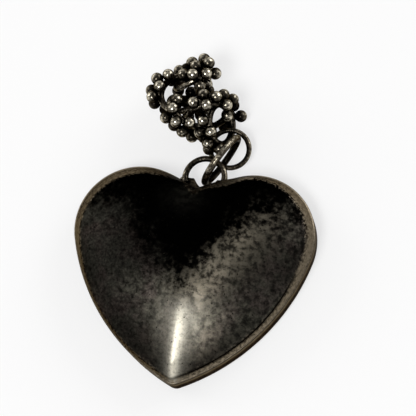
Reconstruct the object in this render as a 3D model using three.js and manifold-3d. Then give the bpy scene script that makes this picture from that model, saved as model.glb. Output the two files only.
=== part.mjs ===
// A puffed heart charm in oxidised silver, lying on its flat back, with the bunched end of a
// granulated link chain on its ring. Millimetres, +Z up off the flat back, +Y from tip to notch.

import * as THREE from 'three';
import { mergeVertices } from 'three/addons/utils/BufferGeometryUtils.js';
import Module from 'manifold-3d';

const wasm = await Module();
wasm.setup();

// Heart outline: on each side a crown arc from the notch, a shoulder arc, a flank arc and the tip
const heart_width = 29.4;
const crown_radius = 15.3;
const crown_end_deg = 106;
const shoulder_radius = 7.7;
const shoulder_lift = 0.55;
const flank_radius = 25.4;
const flank_start_deg = -15;
const tip_radius = 1.2;

// Heart shells: a domed front and a tray-shaped back, soldered rim to rim
const sheet_thickness = 0.5;
const rim_height = 0.5;
const dome_height = 4.6;
const dome_fullness = 2.4;
const back_depth = 3;
const back_edge_radius = 1;
const centre_below_origin = 1;

// The dome's level lines fade from the heart outline into this egg shape towards the crown
const egg_half_width = 12.6;
const egg_top = 8.6;
const egg_bottom = 12.4;
const egg_fade = 3;

// Hanger eyelet, standing in the notch and soldered to both lobes
const eyelet_ring_radius = 2.4;
const eyelet_wire = 0.7;
const eyelet_rise = 1.9;
const eyelet_aside = 0.4;
const solder_gap = 0.03;

// Jump ring through the eyelet, and the plain ring that it holds
const jump_ring_radius = 3.3;
const jump_wire = 0.84;
const jump_slit = 0.12;
const plain_ring_radius = 2.35;
const plain_wire = 0.64;

// Chain links: wire rings with granules soldered round them, set out from where the ring is hung
const link_ring_radius = 2.45;
const link_wire = 0.84;
const granule_diameter = 1.5;
const granule_gap = 0.04;
const pair_angles_deg = [67.5, 112.5, 247.5, 292.5];
const single_angles_deg = [90, 270];

// How finely the curves are cut
const crown_steps = 6;
const shoulder_steps = 12;
const flank_steps = 8;
const tip_steps = 3;
const dome_steps = 9;
const dome_inside_steps = 5;
const tray_steps = 4;
const ring_steps = 36;
const wire_sides = 8;

const rad = THREE.MathUtils.degToRad;
const seam_z = back_depth;

const dark_silver = { color: 0x35322e, roughness: 0.42, metalness: 0.9 };
const rubbed_silver = { color: 0x7d766c, roughness: 0.36, metalness: 0.95 };
const granule_silver = { color: 0x6a645b, roughness: 0.28, metalness: 0.95 };

const charm = new THREE.Group();

function piece(name, geometry, finish, parent = charm) {
  const mesh = new THREE.Mesh(geometry, new THREE.MeshStandardMaterial(finish));
  mesh.name = name;
  parent.add(mesh);
  return mesh;
}

// Points of an arc, the first end included and the last end left out
function arc(centre, radius, from, to, steps) {
  const points = [];
  for (let i = 0; i < steps; i++) {
    const a = from + ((to - from) * i) / steps;
    points.push(new THREE.Vector2(centre.x + radius * Math.cos(a), centre.y + radius * Math.sin(a)));
  }
  return points;
}

// The four arcs of the right half, drawn in by an inset all along
function heartArcs(inset = 0) {
  const crown_end = rad(crown_end_deg);
  const flank_start = rad(flank_start_deg);
  const origin = new THREE.Vector2();
  const shoulder = new THREE.Vector2(heart_width / 2 - shoulder_radius, shoulder_lift);
  const handOver = (radius, angle) =>
    new THREE.Vector2(shoulder_radius - radius, 0).rotateAround(origin, angle).add(shoulder);
  const crown = handOver(crown_radius, crown_end);
  const flank = handOver(flank_radius, flank_start);
  const crown_r = crown_radius - inset;
  const notch_y = crown.y + Math.sqrt(crown_r ** 2 - crown.x ** 2);
  const tip = new THREE.Vector2(0, flank.y - Math.sqrt((flank_radius - tip_radius) ** 2 - flank.x ** 2));
  const flank_end = Math.atan2(tip.y - flank.y, tip.x - flank.x);
  return {
    notch_y,
    arcs: [
      [crown, crown_r, Math.atan2(notch_y - crown.y, -crown.x), crown_end, crown_steps],
      [shoulder, shoulder_radius - inset, crown_end, flank_start, shoulder_steps],
      [flank, flank_radius - inset, flank_start, flank_end, flank_steps],
      [tip, tip_radius - inset, flank_end, -Math.PI / 2, tip_steps],
    ],
    tip_y: tip.y - (tip_radius - inset),
  };
}

// The whole outline, clockwise seen from the front, starting at the notch
function heartOutline(inset = 0) {
  const { arcs, tip_y } = heartArcs(inset);
  const right = arcs.flatMap((a) => arc(...a));
  const left = right.slice(1).reverse();
  return [...right, new THREE.Vector2(0, tip_y), ...left.map((p) => new THREE.Vector2(-p.x, p.y))];
}

const centre = new THREE.Vector2(0, -centre_below_origin);

// A level line of the dome: the outline drawn in to a share of its size, fading into the egg shape
function levelLine(outline, share, height, fade = 0) {
  const towards_egg = fade ? 1 - share ** fade : 0;
  return outline.map((p) => {
    const reach = p.clone().sub(centre);
    const angle = reach.angle();
    const egg_y = Math.sin(angle) > 0 ? egg_top : egg_bottom;
    const egg = 1 / Math.hypot(Math.cos(angle) / egg_half_width, Math.sin(angle) / egg_y);
    const length = share * THREE.MathUtils.lerp(reach.length(), egg, towards_egg);
    return new THREE.Vector3(length * Math.cos(angle), centre.y + length * Math.sin(angle), height);
  });
}

// Rings of points joined one to the next, closed at both ends by a pole
function skin(first_pole, rings, last_pole, turned) {
  const count = rings[0].length;
  const points = [first_pole, ...rings.flat(), last_pole];
  const at = (ring, i) => 1 + ring * count + (i % count);
  const last = points.length - 1;
  const faces = [];
  for (let i = 0; i < count; i++) {
    faces.push([0, at(0, i + 1), at(0, i)]);
    faces.push([last, at(rings.length - 1, i), at(rings.length - 1, i + 1)]);
    for (let ring = 0; ring < rings.length - 1; ring++) {
      faces.push([at(ring, i), at(ring, i + 1), at(ring + 1, i + 1)]);
      faces.push([at(ring, i), at(ring + 1, i + 1), at(ring + 1, i)]);
    }
  }
  const geometry = new THREE.BufferGeometry().setFromPoints(points);
  geometry.setIndex(faces.flatMap((f) => (turned ? [f[0], f[2], f[1]] : f)));
  return geometry;
}

// Shares of the outline at which a surface has a level line, closer together towards the rim
function shares(count) {
  return Array.from({ length: count }, (_, i) => Math.sin(((i + 1) / count) * (Math.PI / 2)));
}

// The domed side above the seam, from the crown to the rim
function domeRings(inset, steps) {
  const outline = heartOutline(inset);
  const rise = dome_height - rim_height - inset;
  const rings = shares(steps).map((share) => {
    const height = seam_z + rim_height + rise * Math.sqrt(1 - Math.min(1, share ** dome_fullness));
    return levelLine(outline, share, height, egg_fade);
  });
  rings.push(levelLine(outline, 1, seam_z));
  return rings;
}

// The tray-shaped side below the seam: the flat, a rounded edge and an upright wall to the rim
function trayRings(inset, steps) {
  const corner = back_edge_radius - inset;
  const rings = [];
  for (let i = 0; i <= steps; i++) {
    const turn = (i / steps) * (Math.PI / 2);
    const outline = heartOutline(inset + corner * (1 - Math.sin(turn)));
    rings.push(levelLine(outline, 1, inset + corner * (1 - Math.cos(turn))));
  }
  rings.push(levelLine(heartOutline(inset), 1, seam_z));
  return rings;
}

function pole(height) {
  return new THREE.Vector3(centre.x, centre.y, height);
}

function frontShell() {
  const inner = domeRings(sheet_thickness, dome_inside_steps).reverse();
  const rings = [...domeRings(0, dome_steps), ...inner];
  return skin(pole(seam_z + dome_height), rings, pole(seam_z + dome_height - sheet_thickness), false);
}

function backShell() {
  const inner = trayRings(sheet_thickness, tray_steps).reverse();
  const rings = [...trayRings(0, tray_steps), ...inner];
  return skin(pole(0), rings, pole(sheet_thickness), true);
}

// The whole heart as one body, a little larger, to cut the eyelet's feet to its surface
function heartBody(grow) {
  const tray = trayRings(-grow, tray_steps).reverse().slice(1);
  const rings = [...domeRings(-grow, dome_steps), ...tray];
  return skin(pole(seam_z + dome_height + grow), rings, pole(-grow), false);
}

function toSolid(geometry) {
  const bare = geometry.clone();
  bare.deleteAttribute('normal');
  bare.deleteAttribute('uv');
  const merged = mergeVertices(bare);
  return new wasm.Manifold(
    new wasm.Mesh({
      numProp: 3,
      vertProperties: merged.attributes.position.array,
      triVerts: new Uint32Array(merged.index.array),
    }),
  );
}

function toGeometry(solid) {
  const mesh = solid.getMesh();
  const geometry = new THREE.BufferGeometry();
  geometry.setAttribute('position', new THREE.BufferAttribute(mesh.vertProperties, 3));
  geometry.setIndex(new THREE.BufferAttribute(mesh.triVerts, 1));
  return geometry;
}

function wireRing(ring_radius, wire) {
  return new THREE.TorusGeometry(ring_radius, wire / 2, wire_sides, ring_steps);
}

piece('front_shell', frontShell(), dark_silver);
piece('back_shell', backShell(), dark_silver);

// The eyelet stands in the notch, a little to the right, its feet cut to the heart's surface
const eyelet_centre = new THREE.Vector3(eyelet_aside, heartArcs().notch_y + eyelet_rise, seam_z);
const eyelet = wireRing(eyelet_ring_radius, eyelet_wire).translate(...eyelet_centre);
piece('hanger_eyelet', toGeometry(toSolid(eyelet).subtract(toSolid(heartBody(solder_gap)))), rubbed_silver);

// Each ring is placed from the ring that it hangs in: how far off its centre is, in its own ring radii,
// the way its length runs and the way it faces
const hung_centre = eyelet_centre.clone();

function ringGroup(ring_radius, { off, along, facing }) {
  const x = new THREE.Vector3(...along).normalize();
  const z = new THREE.Vector3(...facing).projectOnPlane(x).normalize();
  const group = new THREE.Group();
  group.quaternion.setFromRotationMatrix(new THREE.Matrix4().makeBasis(x, z.clone().cross(x), z));
  group.position.copy(hung_centre.addScaledVector(new THREE.Vector3(...off), ring_radius));
  charm.add(group);
  return group;
}

const jump_place = { off: [0.56, 0.68, 0.23], along: [0.5, 0.87, 0], facing: [0.86, -0.49, -0.17] };
const plain_place = { off: [0.21, 0.9, -0.79], along: [-0.04, 0.99, 0.11], facing: [0.12, -0.1, 0.99] };

const slit_depth = 2 * jump_wire;
const slit = new THREE.BoxGeometry(slit_depth, jump_slit, slit_depth).translate(jump_ring_radius, 0, 0);
const open_ring = toSolid(wireRing(jump_ring_radius, jump_wire)).subtract(toSolid(slit));
piece('jump_ring', toGeometry(open_ring), rubbed_silver, ringGroup(jump_ring_radius, jump_place));
const plainGroup = ringGroup(plain_ring_radius, plain_place);
piece('plain_ring', wireRing(plain_ring_radius, plain_wire), rubbed_silver, plainGroup);

// Granules sit on the ring's wire, four pairs across it and one more between each two pairs
const granule_radius = granule_diameter / 2;
const pair_side = granule_radius + granule_gap / 2;
const wire_to_granule = link_wire / 2 + granule_radius + granule_gap;
const pair_radius = link_ring_radius + Math.sqrt(wire_to_granule ** 2 - pair_side ** 2);

const link_places = [
  { off: [-0.49, 1.04, 0.67], along: [-0.35, 0.52, 0.78], facing: [-0.9, 0.03, -0.43] },
  { off: [-0.65, 0.26, 0.35], along: [-0.84, -0.24, 0.48], facing: [0.38, -0.9, 0.22] },
  { off: [-1.06, 0.12, 0.06], along: [-0.8, 0.52, 0.29], facing: [-0.58, -0.57, -0.58] },
  { off: [-0.45, 0.92, 0.02], along: [0.05, 0.99, -0.16], facing: [0, 0.16, 0.99] },
  { off: [0.49, 0.98, -0.12], along: [0.59, 0.75, -0.3], facing: [-0.55, 0.64, 0.54] },
];

link_places.forEach((place, index) => {
  const number = index + 1;
  const link = ringGroup(link_ring_radius, place);
  piece(`link_ring_${number}`, wireRing(link_ring_radius, link_wire), rubbed_silver, link);
  const seats = [
    ...pair_angles_deg.flatMap((angle) => [-1, 1].map((side) => [angle, pair_radius, side * pair_side])),
    ...single_angles_deg.map((angle) => [angle, link_ring_radius + wire_to_granule, 0]),
  ];
  seats.forEach(([angle, reach, side], seat) => {
    const ball = new THREE.IcosahedronGeometry(granule_radius, 1);
    const granule = piece(`granule_${number}_${seat + 1}`, ball, granule_silver, link);
    granule.position.set(reach * Math.cos(rad(angle)), reach * Math.sin(rad(angle)), side);
  });
});

export default charm;
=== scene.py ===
import math
import bpy
import numpy as np
from mathutils import Matrix, Vector


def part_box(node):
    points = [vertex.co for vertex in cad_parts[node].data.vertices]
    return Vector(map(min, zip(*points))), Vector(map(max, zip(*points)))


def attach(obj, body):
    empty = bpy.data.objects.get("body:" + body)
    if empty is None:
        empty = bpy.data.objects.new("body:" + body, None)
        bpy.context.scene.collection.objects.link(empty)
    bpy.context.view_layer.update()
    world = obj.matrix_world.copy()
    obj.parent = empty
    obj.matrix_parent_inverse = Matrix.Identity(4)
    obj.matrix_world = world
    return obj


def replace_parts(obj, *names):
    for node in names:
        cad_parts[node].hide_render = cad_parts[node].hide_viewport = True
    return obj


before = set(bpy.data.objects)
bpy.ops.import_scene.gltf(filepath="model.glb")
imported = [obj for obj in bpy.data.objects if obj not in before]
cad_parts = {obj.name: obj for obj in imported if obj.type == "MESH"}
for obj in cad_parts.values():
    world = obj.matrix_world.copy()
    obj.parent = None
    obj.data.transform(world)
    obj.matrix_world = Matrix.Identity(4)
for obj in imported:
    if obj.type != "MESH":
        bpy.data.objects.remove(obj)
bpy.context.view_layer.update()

# Front shell: half of a puffed heart, stamped from thin silver sheet, with a bevelled margin round its
# foot. It is blackened all over, then rubbed pale on the bevel, down the keel and over the lower lobes.
# Over that lie painted light and shade: a painted dark reflection in black over the upper part, a
# painted highlight down the keel, a painted sheen up to the right lobe and painted light on the lower lobes.
# All sizes are millimetres until a mesh is made.
MM = 0.001
heart_width = 29.4
crown_radius, crown_end = 15.3, math.radians(106)
shoulder_radius, shoulder_lift = 7.7, 0.55
flank_radius, flank_start = 25.4, math.radians(-15)
tip_radius = 1.2
sheet_thickness = 0.5
rim_height = 0.5
dome_fullness = 2.4
egg_half_width, egg_top, egg_bottom, egg_fade = 12.6, 8.6, 12.4, 3
middle = np.array([0, -1.0])
seam_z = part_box("front_shell")[0].z / MM
crown_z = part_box("front_shell")[1].z / MM


def heart_outline():
    """Points and outward normals of the outline, clockwise from the notch. Each side is four runs of
    centre + radius (cos a, sin a), and the left side is the right one with x turned round."""
    shoulder = np.array([heart_width / 2 - shoulder_radius, shoulder_lift])
    towards = lambda angle: np.array([math.cos(angle), math.sin(angle)])
    crown = shoulder + (shoulder_radius - crown_radius) * towards(crown_end)
    flank = shoulder + (shoulder_radius - flank_radius) * towards(flank_start)
    notch_angle = math.acos(-crown[0] / crown_radius)
    tip = np.array([0, flank[1] - math.sqrt((flank_radius - tip_radius) ** 2 - flank[0] ** 2)])
    flank_end = math.atan2(tip[1] - flank[1], tip[0] - flank[0])
    runs = [
        (crown, crown_radius, notch_angle, crown_end, 34),
        (shoulder, shoulder_radius, crown_end, flank_start, 80),
        (flank, flank_radius, flank_start, flank_end, 60),
        (tip, tip_radius, flank_end, -math.pi / 2, 16),
    ]
    points, normals = [], []
    for centre, radius, start, end, steps in runs:
        angles = np.linspace(start, end, steps, endpoint=False)
        around = np.stack([np.cos(angles), np.sin(angles)], axis=-1)
        points.append(centre + radius * around)
        normals.append(around)
    points = np.vstack([*points, tip + tip_radius * towards(-math.pi / 2)])
    normals = np.vstack([*normals, towards(-math.pi / 2)])
    turned = np.array([-1, 1])
    return np.vstack([points, points[-2:0:-1] * turned]), np.vstack([normals, normals[-2:0:-1] * turned])


outline, outline_normal = heart_outline()
reach = np.linalg.norm(outline - middle, axis=1)
reach_angle = np.arctan2(outline[:, 1] - middle[1], outline[:, 0])
across = ((outline - middle) * outline_normal).sum(axis=1)
egg_y = np.where(np.sin(reach_angle) > 0, egg_top, egg_bottom)
egg_reach = 1 / np.hypot(np.cos(reach_angle) / egg_half_width, np.sin(reach_angle) / egg_y)


def level_line(share, height, inset=0.0, fade=egg_fade):
    """Points at a share of the outline's reach from the middle: the reach, drawn in by an inset square
    to the outline, is mixed with the egg's reach by 1 - share ** fade, along each point's direction."""
    share = np.broadcast_to(share, reach.shape)
    drawn_in = reach * (1 - inset / across)
    mix = 1 - share**fade if fade else 0
    length = share * (drawn_in * (1 - mix) + (egg_reach - inset) * mix)
    x, y = length * np.cos(reach_angle), middle[1] + length * np.sin(reach_angle)
    return np.stack([x, y, np.broadcast_to(height, reach.shape)], axis=-1)


def ease(low, high, value):
    """0 below low, 1 above high, and the curve 3 t**2 - 2 t**3 between them."""
    t = np.clip((value - low) / (high - low), 0, 1)
    return t * t * (3 - 2 * t)


def dome_height(share, inset=0.0):
    """Height above the seam: the rim's, plus the rise times sqrt(1 - share ** fullness)."""
    rise = crown_z - seam_z - rim_height - inset
    return seam_z + rim_height + rise * np.sqrt(np.clip(1 - share**dome_fullness, 0, 1))


# The bevel was filed by hand: widest round the left shoulder, half as wide on the right and narrow by the
# tip. Widths are in millimetres and directions, seen from the middle, in degrees.
def side_swell(angle, towards, spread):
    """exp(-(d / spread)**2), with d the shorter way round from one direction to the other."""
    return np.exp(-((((angle - towards + 180) % 360 - 180) / spread) ** 2))


bevel_narrow = 0.28
bevel_left, left_towards, left_spread = 0.85, 145, 50
bevel_right, right_towards, right_spread = 0.45, 25, 45
reach_degrees = np.degrees(reach_angle)
margin_width = bevel_narrow + bevel_left * side_swell(reach_degrees, left_towards, left_spread)
margin_width += bevel_right * side_swell(reach_degrees, right_towards, right_spread)
margin_share = 1 - margin_width / across
edge_round = 0.16
seam_round = 0.09
crease_depth, crease_width = 0.07, 0.09


def skin_piece(name, rings, poles=None, inside_out=False):
    """A mesh of quads over rings[i, j], point j of ring i. With poles, fans close the first and last
    ring. Without, the last ring joins the first."""
    count, around = rings.shape[:2]
    index = np.arange(count * around).reshape(count, around)
    beside = np.roll(index, -1, axis=1)
    below = np.roll(index, -1, axis=0)
    faces = np.stack([index, beside, np.roll(beside, -1, axis=0), below], axis=-1)
    points = rings.reshape(-1, 3)
    if poles is None:
        faces = faces.reshape(-1, 4).tolist()
    else:
        first, last = np.full(around, count * around), np.full(around, count * around + 1)
        faces = faces[:-1].reshape(-1, 4).tolist()
        faces += np.stack([first, beside[0], index[0]], axis=-1).tolist()
        faces += np.stack([last, index[-1], beside[-1]], axis=-1).tolist()
        points = np.vstack([points, poles])
    if inside_out:
        faces = [face[::-1] for face in faces]
    mesh = bpy.data.meshes.new(name)
    mesh.from_pydata((points * MM).tolist(), [], faces)
    mesh.shade_smooth()
    piece = bpy.data.objects.new(name, mesh)
    bpy.context.scene.collection.objects.link(piece)
    return piece


def add_attribute(piece, name, values):
    """A number for each vertex, which a material can read by its name."""
    layer = piece.data.attributes.new(name, "FLOAT", "POINT")
    layer.data.foreach_set("value", np.asarray(values, np.float32).ravel())


def dents(points, size, depth, count=28, seed=3):
    """Soft unevenness of the sheet: a sum of plane waves of random direction, length and phase."""
    rng = np.random.default_rng(seed)
    turn, phase = rng.uniform(0, 2 * math.pi, (2, count))
    length = size * rng.uniform(0.5, 1.8, count)
    run = points[..., 0, None] * np.cos(turn) + points[..., 1, None] * np.sin(turn)
    return depth * np.cos(2 * math.pi * run / length + phase).sum(axis=-1) / math.sqrt(count)


def front_rings():
    """Rings from the crown out over the dome, down the margin and the rim, and back up inside."""
    rings, on_margin = [], []
    for step in np.linspace(0, 1, 73)[1:]:
        share = margin_share * math.sin(step * math.pi / 2)
        rings.append(level_line(share, dome_height(share)))
        on_margin.append((share - margin_share) * across)
    foot_z = dome_height(margin_share)
    rim_z = seam_z + rim_height
    for step in np.linspace(0, 1, 19)[1:]:
        part = 1 - math.cos(step * math.pi / 2)
        share = margin_share + (1 - edge_round * 0.6 / across - margin_share) * part
        swell = 0.1 * margin_width * math.sin(math.pi * part)
        rings.append(level_line(share, foot_z + (rim_z - foot_z) * part + swell))
        on_margin.append((share - margin_share) * across)
    for angle in np.radians([25, 50, 75, 90]):
        inset, drop = edge_round * (1 - math.sin(angle)), edge_round * (1 - math.cos(angle))
        rings.append(level_line(1, rim_z - drop, inset))
        on_margin.append(margin_width - inset)
    rings.append(level_line(1, seam_z + seam_round))
    rings.append(level_line(1, seam_z + 0.3 * seam_round, 0.3 * seam_round))
    rings.append(level_line(1, seam_z, seam_round))
    on_margin += [margin_width] * 3
    outside = len(rings)
    rings.append(level_line(1, seam_z, sheet_thickness))
    for share in np.sin(np.linspace(math.pi / 2, 0.12, 14)):
        rings.append(level_line(share, dome_height(share, sheet_thickness), sheet_thickness))
    on_margin += [margin_width] * (len(rings) - outside)
    return np.array(rings), np.array(on_margin), outside


front_points, on_margin, front_outside = front_rings()
outside_x, outside_y = front_points[..., 0], front_points[..., 1]
crease = np.exp(-((on_margin / crease_width) ** 2)) * ease(-1, -6, outside_y)
crease *= 0.4 + 0.6 * ease(-3, 3, outside_x)
on_dome = ease(0.1, 1.2, -on_margin)
keel_rise, keel_flare = 0.26, 1.2
keel_x = 0.4 + 0.06 * (outside_y + 13)
ridge = np.exp(-(((outside_x - keel_x) / keel_flare) ** 2)) * ease(-4, -12, outside_y)
raised = on_dome * (dents(front_points, 2.2, 0.012) + keel_rise * ridge) - crease_depth * crease
front_points[:front_outside, :, 2] += raised[:front_outside]
front = skin_piece(
    "domed_front",
    front_points,
    poles=[[*middle, crown_z], [*middle, crown_z - sheet_thickness]],
)


# Where the front is worn, where painted light lies on it, and where it is black with a painted dark
# reflection. The pale margin covers the bevel and, in the notch, runs a little way up the dome. It is
# rubbed more at both shoulders and along the lower right. Millimetres.
def patch(x, y, half_wide, half_high):
    """A soft patch about a place on the front: exp(-((dx / half_wide)**2 + (dy / half_high)**2))."""
    return np.exp(-(((outside_x - x) / half_wide) ** 2) - ((outside_y - y) / half_high) ** 2)


notch_paleness = 0.95 * np.exp(-((outside_x / 1.3) ** 2)) + np.exp(-(((outside_x - 3) / 2.6) ** 2))
pale_margin = on_margin + ease(0, 3, outside_y) * notch_paleness
from_middle = np.abs(outside_x)
# The black above this edge, lowest in the middle, is a painted dark reflection over the upper part.
black_edge = -7.9 + 1.25 * from_middle + np.where(outside_x < 0, 1.0, 1.8) * (1 - np.exp(-from_middle / 0.8))
black_edge = np.minimum(black_edge, 3.0)
# The sheen is painted light: a soft pale band from above the keel up towards the right lobe, fading at its
# far end, and a weaker patch low in the middle.
sheen_x, sheen_y, sheen_right, sheen_up = 1.6, -7.2, 0.6, 0.8
sheen_length, sheen_half = 11, 2.6
from_x, from_y = outside_x - sheen_x, outside_y - sheen_y
sheen_along = np.clip(from_x * sheen_right + from_y * sheen_up, 0, sheen_length)
sheen_off = np.hypot(from_x - sheen_right * sheen_along, from_y - sheen_up * sheen_along)
sheen = np.exp(-((sheen_off / sheen_half) ** 2))
sheen *= 0.85 + 0.3 * ease(1, 6, sheen_along) - 0.7 * ease(7, 12, sheen_along)
low_sheen = patch(2.2, -11.5, 4, 5)
# Wear and painted light together: paler patches on the left flank, low in the middle, low on the right and
# by the right shoulder, which stand in for light falling there as well as for rubbing.
lobe_wear_and_painted_light = 0.04 + 0.5 * patch(-5, -8, 4.2, 2.8) + 0.42 * patch(0.5, -9.5, 4.5, 4)
lobe_wear_and_painted_light += 0.55 * patch(10.5, -7, 3, 4) + 0.4 * patch(7.5, -11, 3, 3) + 0.3 * patch(11, 0, 3, 3)
outside_angle = np.degrees(np.arctan2(outside_y - middle[1], outside_x))
evenly_rubbed, shoulder_rubbed, low_rubbed = 0.18, 0.16, 0.18
margin_tone = evenly_rubbed + shoulder_rubbed * side_swell(outside_angle, 130, 35)
margin_tone += shoulder_rubbed * side_swell(outside_angle, 50, 25)
margin_tone += low_rubbed * side_swell(outside_angle, -65, 35)
on_rim = np.zeros(len(front_points))
on_rim[front_outside - 4 : front_outside] = 1
# The keel's bright line is a painted highlight over its rubbing, narrow towards the tip, with a wider,
# weaker glow round it that reaches a little higher.
keel_half = 0.4 + 0.065 * np.clip(outside_y + 18.4, 0, 10)
keel_off = np.abs(outside_x - keel_x - 0.1) / keel_half
keel_glow = 0.8 * np.exp(-(keel_off**2)) * ease(-8.2, -12.2, outside_y)
keel_glow += 0.34 * np.exp(-((keel_off / 2.2) ** 2)) * ease(-7.0, -10.5, outside_y)
whole_shell = lambda values: [*np.ravel(values), np.ravel(values)[0], 0]
add_attribute(front, "margin", whole_shell(pale_margin))
add_attribute(front, "margin_tone", whole_shell(margin_tone))
add_attribute(front, "seam", whole_shell(np.repeat(on_rim, len(outline))))
add_attribute(front, "lobe_wear_and_light", whole_shell(lobe_wear_and_painted_light))
add_attribute(front, "crease", whole_shell(crease))
add_attribute(front, "notch", whole_shell(patch(0.4, 5.0, 4, 2.5)))
add_attribute(front, "hollow", whole_shell(patch(-0.9, 3.9, 2.2, 1.8)))
add_attribute(front, "black", whole_shell(outside_y - black_edge))
add_attribute(front, "sheen", whole_shell(np.maximum(sheen, 0.3 * low_sheen)))
add_attribute(front, "keel", whole_shell(keel_glow))
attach(front, "heart")
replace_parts(front, "front_shell")


class Finish:
    """A node material that is built step by step. Every pattern is laid out in millimetres."""

    def __init__(self, name):
        self.material = bpy.data.materials.new(name)
        self.material.use_nodes = True
        self.nodes = self.material.node_tree.nodes
        self.links = self.material.node_tree.links
        self.shader = self.nodes["Principled BSDF"]
        self.place = self.nodes.new("ShaderNodeTexCoord").outputs["Object"]

    def join(self, node, name, value):
        """Sets an input to a number or a colour, or links it to another node's output."""
        socket = node.inputs[name]
        if isinstance(value, bpy.types.NodeSocket):
            self.links.new(value, socket)
        else:
            socket.default_value = value

    def laid(self, stretch=(1, 1, 1), turn=0.0):
        """The place on the piece in millimetres, turned about Z and stretched."""
        node = self.nodes.new("ShaderNodeMapping")
        self.join(node, "Vector", self.place)
        node.inputs["Scale"].default_value = [s / MM for s in stretch]
        node.inputs["Rotation"].default_value = (0, 0, turn)
        return node.outputs["Vector"]

    def noise(self, size, detail=4.0, rough=0.6, **laid):
        """Cloudy noise from 0 to 1 whose clouds are about this many millimetres across."""
        node = self.nodes.new("ShaderNodeTexNoise")
        self.join(node, "Vector", self.laid(**laid))
        node.inputs["Scale"].default_value = 1 / size
        node.inputs["Detail"].default_value = detail
        node.inputs["Roughness"].default_value = rough
        return node.outputs["Fac"]

    def cells(self, size):
        """The distance to the nearest of points scattered about this many millimetres apart."""
        node = self.nodes.new("ShaderNodeTexVoronoi")
        self.join(node, "Vector", self.laid())
        node.inputs["Scale"].default_value = 1 / size
        return node.outputs["Distance"]

    def own(self, name):
        """The piece's own number of that name."""
        node = self.nodes.new("ShaderNodeAttribute")
        node.attribute_name = name
        return node.outputs["Fac"]

    def sum(self, a, b, kind="ADD"):
        """Two numbers joined by a sum, or by another kind of reckoning."""
        node = self.nodes.new("ShaderNodeMath")
        node.operation = kind
        self.join(node, 0, a)
        self.join(node, 1, b)
        return node.outputs["Value"]

    def ramp(self, value, low, high, to_low=0.0, to_high=1.0):
        """The value stretched smoothly from its own low and high to new ones."""
        node = self.nodes.new("ShaderNodeMapRange")
        node.interpolation_type = "SMOOTHSTEP"
        self.join(node, "Value", value)
        self.join(node, "From Min", low)
        self.join(node, "From Max", high)
        self.join(node, "To Min", to_low)
        self.join(node, "To Max", to_high)
        return node.outputs["Result"]

    def mix(self, factor, a, b):
        """Number a where the factor is 0 and number b where it is 1."""
        node = self.nodes.new("ShaderNodeMix")
        for name, value in (("Factor", factor), ("A", a), ("B", b)):
            self.join(node, name, value)
        return node.outputs["Result"]

    def blend(self, factor, a, b):
        """Colour a where the factor is 0 and colour b where it is 1."""
        node = self.nodes.new("ShaderNodeMix")
        node.data_type = "RGBA"
        self.join(node, "Factor", factor)
        for socket, colour in (("A_Color", a), ("B_Color", b)):
            inlet = next(i for i in node.inputs if i.identifier == socket)
            if isinstance(colour, bpy.types.NodeSocket):
                self.links.new(colour, inlet)
            else:
                inlet.default_value = (*colour, 1)
        return next(o for o in node.outputs if o.identifier == "Result_Color")

    def relief(self, height, depth):
        """A bump of this many millimetres."""
        node = self.nodes.new("ShaderNodeBump")
        self.join(node, "Height", height)
        node.inputs["Distance"].default_value = depth * MM
        node.inputs["Strength"].default_value = 1
        self.links.new(node.outputs["Normal"], self.shader.inputs["Normal"])


# The silver's colours, from the blackest tarnish to the brightest rubbing. All its materials use them.
# Some also paint light: the blackest for the dome's dark reflection, the rubbed one for its sheen and
# the brightest for the keel's highlight.
black_silver = (0.0006, 0.0006, 0.0005)
grey_silver = (0.155, 0.146, 0.115)
mauve_silver = (0.16, 0.134, 0.116)
dark_grey_silver = (0.0158, 0.0152, 0.0125)
brown_grey_silver = (0.026, 0.0205, 0.0175)
soot_silver = (0.0015, 0.0013, 0.0011)
rubbed_and_sheen_silver = (0.3, 0.265, 0.2)
bright_silver = (0.7, 0.66, 0.55)
margin_silver = (0.65, 0.545, 0.395)
wall_silver = (0.26, 0.218, 0.158)
dark_brown_silver = (0.02, 0.0155, 0.011)
brown_silver = (0.045, 0.034, 0.022)
seam_silver = (0.012, 0.008, 0.005)


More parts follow.
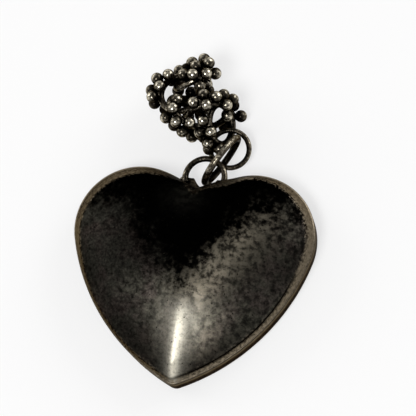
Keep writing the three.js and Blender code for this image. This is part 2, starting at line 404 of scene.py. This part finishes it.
def dome_finish():
    """Oxidised sheet: black above an uneven edge as a painted dark reflection, mottled grey below, rubbed
    bands with painted light, sheen and a keel highlight over them, and a pale margin.
    """
    finish = Finish("oxidised_dome")
    mottle = finish.noise(0.7, detail=4, rough=0.62)
    clouds = finish.noise(3.0, detail=3)
    grain = finish.noise(0.12, detail=2)
    pits = finish.ramp(finish.cells(0.8), 0.14, 0.05)
    flecks = finish.noise(0.32, detail=2, rough=0.7)
    uneven = finish.sum(finish.ramp(mottle, 0.3, 0.72), finish.ramp(flecks, 0.3, 0.75, 0.45, 1), "MULTIPLY")
    # Patches of wear and painted light, broken up by the mottle.
    wear_and_painted_light = finish.sum(finish.sum(uneven, 1.15, "MULTIPLY"), finish.own("lobe_wear_and_light"), "MULTIPLY")
    tinted = finish.blend(finish.ramp(clouds, 0.42, 0.7), dark_grey_silver, brown_grey_silver)
    dull = finish.blend(finish.ramp(flecks, 0.25, 0.72, 0.15, 1.05), soot_silver, tinted)
    colour = finish.blend(wear_and_painted_light, dull, finish.blend(finish.ramp(clouds, 0.4, 0.6), grey_silver, mauve_silver))
    # Painted sheen, in the rubbed colour, broken up by the clouds and the mottle.
    sheen = finish.sum(finish.own("sheen"), finish.ramp(clouds, 0.3, 0.7, 0.6, 1.0), "MULTIPLY")
    sheen = finish.sum(sheen, finish.ramp(mottle, 0.36, 0.62, 0.15, 1.0), "MULTIPLY")
    colour = finish.blend(sheen, colour, rubbed_and_sheen_silver)
    # Painted dark reflection: black above the uneven edge, with ragged borders.
    black = finish.sum(finish.own("black"), finish.ramp(clouds, 0.25, 0.75, -2.0, 2.0))
    black = finish.sum(black, finish.ramp(mottle, 0.3, 0.7, 1.7, -1.7))
    black = finish.ramp(black, -4.6, 1.8)
    colour = finish.blend(black, colour, black_silver)
    hollow = finish.sum(finish.own("hollow"), finish.ramp(mottle, 0.35, 0.65, 0.3, 1), "MULTIPLY")
    colour = finish.blend(hollow, colour, dark_grey_silver)
    # Painted highlight down the keel, over its rubbing.
    keel = finish.sum(finish.own("keel"), finish.ramp(flecks, 0.3, 0.6, 0.65, 1.05), "MULTIPLY")
    colour = finish.blend(keel, colour, bright_silver)
    specks = finish.ramp(finish.noise(0.2, detail=2), 0.7, 0.78, 0, 0.25)
    colour = finish.blend(specks, colour, grey_silver)
    ragged = finish.sum(finish.own("margin"), finish.ramp(flecks, 0.3, 0.7, -0.12, 0.12))
    on_margin = finish.ramp(ragged, -0.12, 0.26)
    tone = finish.sum(finish.own("margin_tone"), finish.ramp(flecks, 0.3, 0.7, 0.6, 1.3), "MULTIPLY")
    tarnish = finish.sum(finish.own("notch"), finish.ramp(mottle, 0.3, 0.7, 0.35, 0.05), "MULTIPLY")
    margin = finish.blend(finish.sum(tone, tarnish, "SUBTRACT"), dark_brown_silver, margin_silver)
    colour = finish.blend(on_margin, colour, margin)
    colour = finish.blend(finish.own("seam"), colour, seam_silver)
    colour = finish.blend(pits, colour, black_silver)
    colour = finish.blend(finish.own("crease"), colour, black_silver)
    finish.join(finish.shader, "Base Color", colour)
    roughness = finish.mix(finish.own("keel"), finish.ramp(grain, 0.2, 0.8, 0.3, 0.44), 0.5)
    finish.join(finish.shader, "Roughness", roughness)
    finish.shader.inputs["Metallic"].default_value = 1.0
    # The edge tint goes dark where the painted dark reflection lies.
    finish.join(finish.shader, "Specular Tint", finish.blend(black, (0.35, 0.32, 0.28), (0.01, 0.01, 0.01)))
    finish.relief(finish.sum(mottle, finish.sum(grain, pits, "SUBTRACT")), 0.012)
    return finish.material


dome_silver = dome_finish()
front.data.materials.append(dome_silver)

# Back shell: a shallow tray of the same sheet, soldered to the front rim to rim. It isn't seen in the
# photo apart from its side. Its flat lies on the table, and its turned edge is rubbed and painted paler
# near the seam, as a painted highlight.
back_edge_radius = 1.0


def back_rings():
    """Rings from the middle of the flat out, round the edge, up the wall to the seam, and back down
    inside. At a turn t the edge is drawn in by r * (1 - sin t) and is r * (1 - cos t) high."""
    rings, wear_and_painted_light = [], []
    for share in np.linspace(0, 1, 14)[1:-1]:
        rings.append(level_line(share, 0, share * back_edge_radius, fade=0))
        wear_and_painted_light.append(0)
    for turn in np.linspace(0, math.pi / 2, 15):
        drawn_in = back_edge_radius * (1 - math.sin(turn))
        rings.append(level_line(1, back_edge_radius * (1 - math.cos(turn)), drawn_in, fade=0))
        wear_and_painted_light.append(0)
    # The top of the wall is marked paler: rubbing and a painted highlight.
    for part in np.linspace(0, 1, 9)[1:]:
        top = seam_z - seam_round
        rings.append(level_line(1, back_edge_radius + (top - back_edge_radius) * part, fade=0))
        wear_and_painted_light.append(ease(0.6, 0.8, part))
    rings.append(level_line(1, seam_z - 0.3 * seam_round, 0.3 * seam_round, fade=0))
    rings.append(level_line(1, seam_z, seam_round, fade=0))
    rings.append(level_line(1, seam_z, sheet_thickness, fade=0))
    wear_and_painted_light += [0.3, 0, 0]
    inner_radius = back_edge_radius - sheet_thickness
    for turn in np.linspace(math.pi / 2, 0, 6):
        drawn_in = sheet_thickness + inner_radius * (1 - math.sin(turn))
        rings.append(level_line(1, sheet_thickness + inner_radius * (1 - math.cos(turn)), drawn_in, fade=0))
        wear_and_painted_light.append(0)
    for share in np.linspace(1, 0, 7)[1:-1]:
        rings.append(level_line(share, sheet_thickness, share * back_edge_radius, fade=0))
        wear_and_painted_light.append(0)
    return np.array(rings), np.array(wear_and_painted_light)


back_points, back_wear_and_painted_light = back_rings()
back = skin_piece(
    "back_tray", back_points, poles=[[*middle, 0], [*middle, sheet_thickness]], inside_out=True
)
add_attribute(back, "wear_and_painted_light", [*np.repeat(back_wear_and_painted_light, len(outline)), 0, 0])
on_flat = ease(0.3, 0, back_points[..., 2])
add_attribute(back, "flat", [*on_flat.ravel(), 1, 0])
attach(back, "heart")
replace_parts(back, "back_shell")


def back_finish():
    """Oxidised sheet like the front's, mottled dark brown, paler next to the seam with rubbing and a painted
    highlight, scratched.
    """
    finish = Finish("oxidised_back")
    mottle = finish.noise(0.6, detail=6, rough=0.7)
    clouds = finish.noise(4.0, detail=3)
    grain = finish.noise(0.12, detail=2)
    scratches = finish.ramp(finish.noise(0.5, detail=2, stretch=(0.12, 1.6, 1), turn=0.5), 0.62, 0.7)
    colour = finish.blend(finish.ramp(mottle, 0.3, 0.7), seam_silver, brown_silver)
    flat = finish.sum(finish.own("flat"), finish.ramp(clouds, 0.4, 0.7, 0.1, 0.7), "MULTIPLY")
    colour = finish.blend(flat, colour, grey_silver)
    # Paler top of the wall: rubbing and a painted highlight.
    wear_and_painted_light = finish.sum(finish.own("wear_and_painted_light"), finish.ramp(mottle, 0.3, 0.65, 0.35, 0.7), "MULTIPLY")
    colour = finish.blend(wear_and_painted_light, colour, wall_silver)
    scratched = finish.sum(finish.sum(scratches, 0.5, "MULTIPLY"), finish.own("flat"), "MULTIPLY")
    colour = finish.blend(scratched, colour, rubbed_and_sheen_silver)
    finish.join(finish.shader, "Base Color", colour)
    finish.join(finish.shader, "Roughness", finish.ramp(grain, 0.2, 0.8, 0.34, 0.48))
    finish.shader.inputs["Metallic"].default_value = 1.0
    finish.shader.inputs["Specular Tint"].default_value = (0.35, 0.32, 0.28, 1)
    finish.relief(finish.sum(mottle, grain), 0.012)
    return finish.material


back.data.materials.append(back_finish())

# Hanger eyelet: a loop of round silver wire that stands in the notch, facing front. Its two feet are
# soldered to the lobes, and the solder spreads their ends.
def ring_of(node):
    """Centre, two axes in its plane, its facing and its radii, from a ring's CAD node. The facing is
    the direction in which the points spread least, and the circle is a least squares fit to them."""
    points = np.array([v.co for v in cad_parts[node].data.vertices]) / MM
    mean = points.mean(axis=0)
    along, side, facing = np.linalg.svd(points - mean, full_matrices=False)[2]
    facing = facing if facing[2] > 0 else -facing
    side = np.cross(facing, along)
    flat = np.stack([(points - mean) @ along, (points - mean) @ side], axis=-1)
    fit = np.linalg.lstsq(np.c_[2 * flat, np.ones(len(flat))], (flat**2).sum(axis=1), rcond=None)[0]
    wire = np.ptp((points - mean) @ facing) / 2
    far = np.linalg.norm(flat - fit[:2], axis=1).max()
    return mean + fit[0] * along + fit[1] * side, along, side, facing, far - wire, wire


def wire_rings(centre, along, side, facing, radius, wire, angles, seed, around=20):
    """Sections of round wire bent to a circle: centre + (radius + w cos b) outwards + w sin b along the
    facing, at each angle. The wire's half width w may change with the angle, and drifts a little."""
    rng = np.random.default_rng(seed)
    turn = np.linspace(0, 2 * math.pi, around, endpoint=False)
    phase = rng.uniform(0, 2 * math.pi, 4)
    drift = sum(0.012 * np.sin((k + 2) * angles + phase[k]) for k in range(4))
    half = np.broadcast_to(wire, angles.shape) * (1 + drift)
    outward = np.cos(angles)[:, None] * along + np.sin(angles)[:, None] * side
    reach_out = radius + half[:, None] * np.cos(turn)
    rise = half[:, None] * np.sin(turn)
    return centre + reach_out[..., None] * outward[:, None] + rise[..., None] * facing


def wire_wear_and_highlight(angles, around=20):
    """Wear and painted highlight of a wire: 1 on its outer side, 0 on its inner side, as (1 + cos b) / 2."""
    turn = np.linspace(0, 2 * math.pi, around, endpoint=False)
    return np.tile((1 + np.cos(turn)) / 2, (len(angles), 1))


eyelet_centre, *_, eyelet_radius, eyelet_wire = ring_of("hanger_eyelet")
eyelet_foot = math.radians(20)
foot_spread, foot_reach = 0.5, 0.32
eyelet_angles = np.linspace(-eyelet_foot, math.pi + eyelet_foot, 90)
from_foot = np.minimum(eyelet_angles + eyelet_foot, math.pi + eyelet_foot - eyelet_angles) * eyelet_radius
eyelet_half = eyelet_wire * (1 + foot_spread * np.exp(-((from_foot / foot_reach / 2) ** 2)))
right, up, front_facing = np.eye(3)
eyelet_points = wire_rings(
    eyelet_centre, right, up, front_facing, eyelet_radius, eyelet_half, eyelet_angles, seed=1
)
eyelet = skin_piece(
    "eyelet_wire",
    eyelet_points,
    poles=[eyelet_points[0].mean(axis=0), eyelet_points[-1].mean(axis=0)],
    inside_out=True,
)
add_attribute(eyelet, "wear_and_painted_light", [*wire_wear_and_highlight(eyelet_angles).ravel(), 0, 0])
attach(eyelet, "heart")
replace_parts(eyelet, "hanger_eyelet")


def wire_finish():
    """Blackened wire: dark in its inner side, rubbed silver outside with a painted highlight there, finely
    pitted and drawn.
    """
    finish = Finish("rubbed_wire")
    mottle = finish.noise(0.35, detail=5, rough=0.7)
    grain = finish.noise(0.09, detail=2)
    wear_and_painted_light = finish.sum(finish.own("wear_and_painted_light"), finish.ramp(mottle, 0.3, 0.7, -0.5, 0.5))
    colour = finish.blend(finish.ramp(wear_and_painted_light, 0.1, 0.8), (0.01, 0.009, 0.007), (0.075, 0.063, 0.046))
    # The bright outer side is rubbing and a painted highlight.
    colour = finish.blend(finish.ramp(wear_and_painted_light, 0.85, 1.3), colour, (0.4, 0.36, 0.28))
    finish.join(finish.shader, "Base Color", colour)
    finish.join(finish.shader, "Roughness", finish.ramp(grain, 0.2, 0.8, 0.2, 0.32))
    finish.shader.inputs["Metallic"].default_value = 1.0
    finish.shader.inputs["Specular Tint"].default_value = (0.3, 0.28, 0.24, 1)
    finish.relief(finish.sum(mottle, grain), 0.01)
    return finish.material


wire_silver = wire_finish()
eyelet.data.materials.append(wire_silver)

# Solder beads: silver solder that ran out at the eyelet's feet, a small round one that shows in front
# of the right foot and a flatter one on the left.
def bead_rings(centre, size, seed, around=28, steps=18):
    """A squashed ball: size * (sin t cos a, sin t sin a, cos t), swollen a little by two waves."""
    rng = np.random.default_rng(seed)
    lift = np.linspace(0, math.pi, steps + 2)[1:-1, None]
    turn = -np.linspace(0, 2 * math.pi, around, endpoint=False)
    swell = 1 + 0.06 * np.sin(2 * turn + rng.uniform(0, 6)) * np.sin(lift) ** 2
    ball = [np.sin(lift) * np.cos(turn), np.sin(lift) * np.sin(turn), np.cos(lift) + 0 * turn]
    return centre + np.stack(ball, axis=-1) * swell[..., None] * size


foot_side = eyelet_radius * math.cos(eyelet_foot * 0.5)
foot_y = eyelet_centre[1] - eyelet_radius * math.sin(eyelet_foot * 0.5)
for number, (side, forward, size) in enumerate(
    [(1, 0.4, (0.36, 0.3, 0.26)), (-1, 0.22, (0.46, 0.3, 0.22))], start=1
):
    bead_centre = eyelet_centre + [side * (foot_side + 0.1), foot_y - eyelet_centre[1], forward]
    bead_size = np.array(size)
    tops = np.array([[0, 0, 1], [0, 0, -1]])
    points = bead_rings(bead_centre, bead_size, seed=number)
    bead = skin_piece(f"solder_bead_{number}", points, poles=bead_centre + tops * bead_size)
    add_attribute(bead, "wear_and_painted_light", np.full(len(bead.data.vertices), 0.8))
    bead.data.materials.append(wire_silver)
    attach(bead, "heart")

# Solder web: silver solder that filled the bottom of the notch behind the eyelet, from lobe to lobe. Its
# upper edge is hollowed under the jump ring, and it is brown with tarnish.
web_columns, web_around = 44, 26
web_low, web_hollow, web_high = 6.35, 0.6, 7.6
web_z, web_half_thick = 2.1, 0.62
web_sunk = 0.2


def web_rings():
    """Loops round the web at each place across it: a rounded box whose half width is half of the way from
    the lobes' edge to the upper edge low + hollow * (x - middle)**2, at most high, with corners cos**0.6
    and sin**0.6."""
    eyelet_x = eyelet_centre[0]
    x = np.linspace(eyelet_x - eyelet_radius + 0.1, eyelet_x + eyelet_radius - 0.1, web_columns)
    by_x = np.argsort(outline[:, 0])
    upper = by_x[(outline[by_x, 1] > 3) & (np.abs(outline[by_x, 0]) < 5)]
    lobe_y = np.interp(x, outline[upper, 0], outline[upper, 1]) - web_sunk
    top_y = np.minimum(web_low + web_hollow * (x - eyelet_x) ** 2, web_high)
    middle_y, half_y = (lobe_y + top_y) / 2, np.maximum((top_y - lobe_y) / 2, 0.05)
    turn = np.linspace(0, 2 * math.pi, web_around, endpoint=False)
    squared = lambda wave: np.sign(wave) * np.abs(wave) ** 0.6
    lumps = 0.05 * np.sin(2.3 * x[:, None] + 2 * turn) + 0.04 * np.sin(4.1 * x[:, None] + 1.3)
    y = middle_y[:, None] + half_y[:, None] * squared(np.cos(turn))
    z = web_z + (web_half_thick + lumps) * squared(np.sin(turn))
    return np.stack([np.broadcast_to(x[:, None], y.shape), y, z], axis=-1)


web_points = web_rings()
web = skin_piece("solder_web", web_points, poles=[web_points[0].mean(axis=0), web_points[-1].mean(axis=0)])
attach(web, "heart")


def solder_finish():
    """Tarnished solder: brown, lumpy, and rubbed a little on its lumps."""
    finish = Finish("tarnished_solder")
    mottle = finish.noise(0.4, detail=6, rough=0.75)
    colour = finish.blend(finish.ramp(mottle, 0.35, 0.65), seam_silver, (0.1, 0.078, 0.052))
    finish.join(finish.shader, "Base Color", colour)
    finish.join(finish.shader, "Roughness", finish.ramp(mottle, 0.3, 0.7, 0.5, 0.36))
    finish.shader.inputs["Metallic"].default_value = 1.0
    finish.shader.inputs["Specular Tint"].default_value = (0.3, 0.28, 0.24, 1)
    finish.relief(mottle, 0.05)
    return finish.material


web.data.materials.append(solder_finish())

# Jump ring: round silver wire bent to a ring and left open at a fine slit, which is at its far end. It
# goes through the eyelet and is seen nearly edge on.
jump_along = Vector((0.5, 0.87, 0.0))
jump_slit, jump_ring_radius = 0.12, 3.3
slit_half_angle = math.asin(jump_slit / 2 / jump_ring_radius)
jump_centre, *_, jump_facing, jump_radius, jump_wire = ring_of("jump_ring")
slit_along = np.array(jump_along.normalized())
slit_side = np.cross(jump_facing, slit_along)
jump_angles = np.linspace(slit_half_angle, 2 * math.pi - slit_half_angle, 120)
jump_points = wire_rings(
    jump_centre, slit_along, slit_side, jump_facing, jump_radius, jump_wire, jump_angles, seed=2
)
jump_ring = skin_piece(
    "open_jump_ring",
    jump_points,
    poles=[jump_points[0].mean(axis=0), jump_points[-1].mean(axis=0)],
    inside_out=True,
)
add_attribute(jump_ring, "wear_and_painted_light", [*wire_wear_and_highlight(jump_angles).ravel(), 0.5, 0.5])
jump_ring.data.materials.append(wire_silver)
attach(jump_ring, "jump_ring")
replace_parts(jump_ring, "jump_ring")

# Plain ring and link rings: rings of round silver wire, soldered shut. The plain one hangs in the jump
# ring, and the links of the chain follow one by one.
ring_angles = np.linspace(0, 2 * math.pi, 96, endpoint=False)
link_count = 5
ring_bodies = {"plain_ring": "plain_ring"}
ring_bodies.update({f"link_ring_{k}": f"link_{k}" for k in range(1, link_count + 1)})
link_rings = {}
for seed, (node, body) in enumerate(ring_bodies.items(), start=10):
    link_rings[body] = ring_of(node)
    points = wire_rings(*link_rings[body], ring_angles, seed=seed)
    ring = skin_piece(f"{node}_wire", points, inside_out=True)
    add_attribute(ring, "wear_and_painted_light", wire_wear_and_highlight(ring_angles))
    ring.data.materials.append(wire_silver)
    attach(ring, body)
    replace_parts(ring, node)

# Granules: solid silver balls soldered round each link ring, in pairs across the wire and one by one
# between. Each sits on a small neck of solder, is black round the neck and rubbed bright on top, where a
# painted highlight also lies.
granules_per_link = 10
solder_neck = 0.13
granule_gap = 0.04


def granule_rings(centre, seat, radius, seed, around=26, steps=17):
    """A ball about its centre, with its last pole towards its seat on the wire: radius times
    (1 + waves + neck * exp(-((180 - t) / 26)**2)) at t degrees from the outer pole."""
    rng = np.random.default_rng(seed)
    inward = (seat - centre) / np.linalg.norm(seat - centre)
    side = np.cross(inward, [0.3, 0.5, 0.8])
    side /= np.linalg.norm(side)
    front_side = np.cross(inward, side)
    lift = np.linspace(0, math.pi, steps + 2)[1:-1, None]
    turn = np.linspace(0, 2 * math.pi, around, endpoint=False)
    waves = 0.012 * np.sin(2 * turn + rng.uniform(0, 6)) * np.sin(lift) ** 2
    waves = waves + 0.01 * np.cos(3 * lift + rng.uniform(0, 6))
    neck = solder_neck * np.exp(-(((math.pi - lift) / 0.45) ** 2))
    length = (radius * (1 + waves + neck))[..., None]
    around_way = np.cos(turn)[:, None] * side + np.sin(turn)[:, None] * front_side
    way = np.sin(lift)[..., None] * around_way - np.cos(lift)[..., None] * inward
    poles = [centre - inward * radius, centre + inward * radius * (1 + solder_neck)]
    return centre + length * way, poles, np.tile((1 + np.cos(lift)) / 2, (1, around))


def granule_finish():
    """Silver balls: bright on top where they are rubbed and a highlight is painted, grey on their sides,
    black down at the solder.
    """
    finish = Finish("rubbed_granules")
    mottle = finish.noise(0.3, detail=5, rough=0.7)
    grain = finish.noise(0.08, detail=2)
    wear_and_painted_light = finish.sum(finish.own("wear_and_painted_light"), finish.ramp(mottle, 0.3, 0.7, -0.16, 0.16))
    colour = finish.blend(finish.ramp(wear_and_painted_light, 0.3, 0.9), (0.006, 0.005, 0.004), (0.085, 0.074, 0.055))
    # The bright top is rubbing and a painted highlight.
    colour = finish.blend(finish.ramp(wear_and_painted_light, 0.78, 1.08), colour, (0.72, 0.66, 0.53))
    finish.join(finish.shader, "Base Color", colour)
    finish.join(finish.shader, "Roughness", finish.ramp(grain, 0.2, 0.8, 0.16, 0.24))
    finish.shader.inputs["Metallic"].default_value = 1.0
    finish.shader.inputs["Specular Tint"].default_value = (0.3, 0.28, 0.24, 1)
    finish.relief(finish.sum(mottle, grain), 0.004)
    return finish.material


granule_silver = granule_finish()


def solder_granule(link, number, centre, radius):
    """A ball with its neck towards the nearest place on its ring's wire, riding on that link."""
    ring_centre, _, _, ring_facing, ring_radius, _ = link_rings[f"link_{link}"]
    outward = centre - ring_centre
    outward -= ring_facing * (outward @ ring_facing)
    seat = ring_centre + ring_radius * outward / np.linalg.norm(outward)
    points, poles, wear_and_painted_light = granule_rings(centre, seat, radius, seed=100 * link + number)
    granule = skin_piece(f"ball_{link}_{number}", points, poles=poles)
    add_attribute(granule, "wear_and_painted_light", [*wear_and_painted_light.ravel(), 1, 0])
    granule.data.materials.append(granule_silver)
    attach(granule, f"link_{link}")
    return granule


granule_centres = {}
for link in range(1, link_count + 1):
    for number in range(1, granules_per_link + 1):
        node = f"granule_{link}_{number}"
        low, high = (np.array(corner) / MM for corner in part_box(node))
        centre, granule_radius = (low + high) / 2, (high - low).max() / 2
        granule_centres[link, number] = centre
        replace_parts(solder_granule(link, number, centre, granule_radius), node)

# Further granules of the same kind, which fill the spaces between the others. They sit at quarters of the
# link rings and beside the single balls at 90 and 270 degrees, where there is room. Side 1 or -1 is a face
# of the wire, and side 0 is out beyond the wire, where neither face has room.
further_seats = {
    1: {135: 1, 270: 1, 315: 0},
    2: {45: -1, 90: 1, 225: 1, 315: 0},
    3: {45: 1, 90: 1, 270: 1, 315: -1},
    4: {45: 1, 90: 1, 135: -1, 315: 0},
    5: {45: 1, 90: 1, 225: 1, 270: 1, 315: 1},
}


def seat_centre(link, angle, side):
    """A ball's centre from its seat: the ring's centre plus a reach outwards and a rise to one side. From
    wire to ball it is wire + ball + gap."""
    ring_centre, *_, ring_radius, ring_wire = link_rings[f"link_{link}"]
    to_wire = ring_wire + granule_radius + granule_gap
    reach_out = ring_radius if side else ring_radius + to_wire
    axis = granule_centres[link, 2] - granule_centres[link, 1]
    axis /= np.linalg.norm(axis)
    up_way = granule_centres[link, 9] - granule_centres[link, 10]
    up_way /= np.linalg.norm(up_way)
    side_way = np.cross(up_way, axis)
    turn = math.radians(angle)
    outward = side_way * math.cos(turn) + up_way * math.sin(turn)
    return ring_centre + reach_out * outward + side * to_wire * axis


for link, seats in further_seats.items():
    for number, (angle, side) in enumerate(seats.items(), start=granules_per_link + 1):
        solder_granule(link, number, seat_centre(link, angle, side), granule_radius)

# Table and studio: a pale table top under a dim ceiling with a pale horizon, a soft lamp in front on
# the left that draws the bright line down the keel, and a weaker one on the right.
bpy.ops.mesh.primitive_plane_add(size=1.6)
table_top = bpy.context.object
table_top.name = "table_top"
table_finish = bpy.data.materials.new("pale_table")
table_finish.use_nodes = True
table_shader = table_finish.node_tree.nodes["Principled BSDF"]
table_shader.inputs["Base Color"].default_value = (0.92, 0.92, 0.92, 1)
table_shader.inputs["Roughness"].default_value = 0.9
white_share = 0.6
table_nodes, table_links = table_finish.node_tree.nodes, table_finish.node_tree.links
rays = table_nodes.new("ShaderNodeLightPath")
seen = table_nodes.new("ShaderNodeMath")
seen.operation = "MAXIMUM"
for socket, ray in enumerate(("Is Camera Ray", "Is Glossy Ray")):
    table_links.new(rays.outputs[ray], seen.inputs[socket])
seen_through = table_nodes.new("ShaderNodeMath")
seen_through.operation = "MAXIMUM"
table_links.new(seen.outputs["Value"], seen_through.inputs[0])
table_links.new(rays.outputs["Is Transmission Ray"], seen_through.inputs[1])
share = table_nodes.new("ShaderNodeMath")
share.operation = "MULTIPLY"
table_links.new(seen_through.outputs["Value"], share.inputs[0])
share.inputs[1].default_value = white_share
paper = table_nodes.new("ShaderNodeEmission")
paper.inputs["Strength"].default_value = 1.0
whitened = table_nodes.new("ShaderNodeMixShader")
table_links.new(share.outputs["Value"], whitened.inputs["Fac"])
table_links.new(table_shader.outputs["BSDF"], whitened.inputs[1])
table_links.new(paper.outputs["Emission"], whitened.inputs[2])
table_links.new(whitened.outputs["Shader"], table_nodes["Material Output"].inputs["Surface"])
table_top.data.materials.append(table_finish)


def add_lamp(name, direction, distance, size, power):
    """A square soft lamp that faces the heart from a direction."""
    light = bpy.data.lights.new(name, "AREA")
    light.shape = "SQUARE"
    light.size = size
    light.energy = power
    lamp = bpy.data.objects.new(name, light)
    lamp.location = Vector(direction).normalized() * distance
    lamp.rotation_euler = lamp.location.to_track_quat("Z", "Y").to_euler()
    bpy.context.scene.collection.objects.link(lamp)


add_lamp("front_lamp", (-0.1, -0.43, 0.9), distance=0.45, size=0.14, power=0.95)
add_lamp("left_lamp", (-0.9, 0.35, 0.5), distance=0.6, size=0.35, power=0.9)
add_lamp("right_lamp", (0.75, 0.75, 0.5), distance=0.6, size=0.35, power=1.5)

world = bpy.data.worlds.new("studio")
bpy.context.scene.world = world
world.use_nodes = True
sky = world.node_tree
place = sky.nodes.new("ShaderNodeTexCoord")
split = sky.nodes.new("ShaderNodeSeparateXYZ")
height = sky.nodes.new("ShaderNodeMapRange")
height.interpolation_type = "SMOOTHSTEP"
height.inputs["From Min"].default_value = 0.12
height.inputs["From Max"].default_value = 0.45
height.inputs["To Min"].default_value = 1.0
height.inputs["To Max"].default_value = 0.3
sky.links.new(place.outputs["Generated"], split.inputs["Vector"])
sky.links.new(split.outputs["Z"], height.inputs["Value"])
sky.links.new(height.outputs["Result"], sky.nodes["Background"].inputs["Strength"])
sky.nodes["Background"].inputs["Color"].default_value = (1, 1, 1, 1)

# Camera: above the heart's lower right, turned so that the heart leans to the left as in the photo.
camera_azimuth, camera_elevation, camera_turn = (math.radians(a) for a in (37.83, 70.82, 31.33))
camera_distance = 0.2
image_pixels = 416
pixels_per_metre = 8348
seam_pixel = Vector((193.2, 237.2))
back_way = Vector(
    (
        math.sin(camera_azimuth) * math.cos(camera_elevation),
        -math.cos(camera_azimuth) * math.cos(camera_elevation),
        math.sin(camera_elevation),
    )
)
level_right = Vector((math.cos(camera_azimuth), math.sin(camera_azimuth), 0))
level_up = back_way.cross(level_right)
image_up = level_up * math.cos(camera_turn) + level_right * math.sin(camera_turn)
image_right = image_up.cross(back_way)
seam_middle = Vector((0, 0, seam_z * MM))
off_centre = (Vector((image_pixels / 2,) * 2) - seam_pixel) / pixels_per_metre
aim = seam_middle + image_right * off_centre.x - image_up * off_centre.y
camera_place = seam_middle + back_way * camera_distance
look_back = (camera_place - aim).normalized()
look_up = (image_up - look_back * image_up.dot(look_back)).normalized()
look_right = look_up.cross(look_back)
lens = bpy.data.cameras.new("photo_camera")
lens.lens = camera_distance * pixels_per_metre / image_pixels * lens.sensor_width
lens.clip_start, lens.clip_end = 0.01, 10
camera = bpy.data.objects.new("photo_camera", lens)
bpy.context.scene.collection.objects.link(camera)
camera.matrix_world = Matrix.Translation(camera_place) @ Matrix(
    (look_right, look_up, look_back)
).transposed().to_4x4()
bpy.context.scene.camera = camera

bpy.context.scene.view_settings.view_transform = "Standard"
